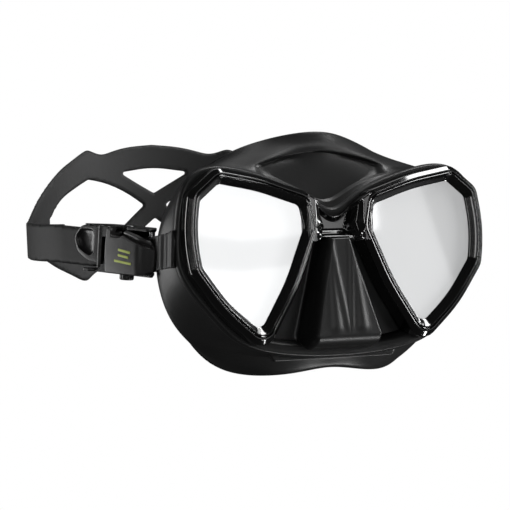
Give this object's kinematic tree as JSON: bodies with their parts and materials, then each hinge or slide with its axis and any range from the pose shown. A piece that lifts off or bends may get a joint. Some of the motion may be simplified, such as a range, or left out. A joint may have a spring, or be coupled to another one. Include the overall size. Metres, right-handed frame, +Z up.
{
  "type": "diving mask",
  "caption": "Low-volume diving mask: black silicone skirt with nose pocket, glossy frame with angular lenses, swivelling buckles and a split rear strap.",
  "frame": {"origin": "middle of the face seat, halfway between the two buckle tabs", "axes": "+X to the wearer's left, +Y back toward the face and through the strap loop, +Z up"},
  "size_m": [0.2054, 0.1825, 0.1167],
  "materials": {
    "skirt_silicone": "satin black moulded silicone",
    "frame_gloss": "polished black",
    "bezel_gloss": "polished black",
    "lens_glass": "tempered glass with a pale mirrored look",
    "strap_silicone": "matte black silicone band",
    "buckle_plastic": "black with a fine satin texture",
    "cover_plastic": "black satin, polished at its shoulder",
    "button_plastic": "black satin",
    "emblem_lime": "lime green inlay",
    "roller_plastic": "dark grey",
    "pin_steel": "plain stainless steel"
  },
  "bodies": {
    "root": {"skirt": "skirt_silicone", "frame": "frame_gloss", "bezel_left": "bezel_gloss", "bezel_right": "bezel_gloss", "lens_left": "lens_glass", "lens_right": "lens_glass", "strap": "strap_silicone"},
    "buckle_right": {"buckle_base_right": "buckle_plastic", "buckle_cover_right": "cover_plastic", "emblem_right": "emblem_lime", "roller_axle_right": "pin_steel", "tab_pin_right": "pin_steel", "button_spring_right": "pin_steel"},
    "upper_button_right": {"button_upper_right": "button_plastic"},
    "lower_button_right": {"button_lower_right": "button_plastic"},
    "roller_body_right": {"roller_right": "roller_plastic"},
    "buckle_left": {"buckle_base_left": "buckle_plastic", "buckle_cover_left": "cover_plastic", "emblem_left": "emblem_lime", "roller_axle_left": "pin_steel", "tab_pin_left": "pin_steel", "button_spring_left": "pin_steel"},
    "upper_button_left": {"button_upper_left": "button_plastic"},
    "lower_button_left": {"button_lower_left": "button_plastic"},
    "roller_body_left": {"roller_left": "roller_plastic"}
  },
  "joints": [
    {"name": "swivel_right", "type": "hinge", "parent": "root", "child": "buckle_right", "pos_m": [-0.0781, 0.0035, 0.0009], "axis": [0.0476, -0.1308, 0.9903], "range_deg": [-12, 12], "deforming": ["strap"]},
    {"name": "press_upper_right", "type": "slide", "parent": "buckle_right", "child": "upper_button_right", "axis": [-0.0476, 0.1308, -0.9903], "range_m": [0, 0.0015], "stiffness_N_per_m": 400, "deforming": ["button_spring_right"]},
    {"name": "press_lower_right", "type": "slide", "parent": "buckle_right", "child": "lower_button_right", "axis": [0.0476, -0.1308, 0.9903], "range_m": [0, 0.0015], "stiffness_N_per_m": 400, "deforming": ["button_spring_right"]},
    {"name": "roller_spin_right", "type": "hinge", "parent": "buckle_right", "child": "roller_body_right", "pos_m": [-0.08565, 0.02425, 0.004], "axis": [0.0476, -0.1308, 0.9903], "continuous": true},
    {"name": "swivel_left", "type": "hinge", "parent": "root", "child": "buckle_left", "pos_m": [0.0781, 0.0035, 0.0009], "axis": [0.0476, 0.1308, -0.9903], "range_deg": [-12, 12], "deforming": ["strap"]},
    {"name": "press_upper_left", "type": "slide", "parent": "buckle_left", "child": "upper_button_left", "axis": [0.0476, 0.1308, -0.9903], "range_m": [0, 0.0015], "stiffness_N_per_m": 400, "deforming": ["button_spring_left"]},
    {"name": "press_lower_left", "type": "slide", "parent": "buckle_left", "child": "lower_button_left", "axis": [-0.0476, -0.1308, 0.9903], "range_m": [0, 0.0015], "stiffness_N_per_m": 400, "deforming": ["button_spring_left"]},
    {"name": "roller_spin_left", "type": "hinge", "parent": "buckle_left", "child": "roller_body_left", "pos_m": [0.08565, 0.02425, 0.004], "axis": [-0.0476, -0.1308, 0.9903], "continuous": true}
  ]
}
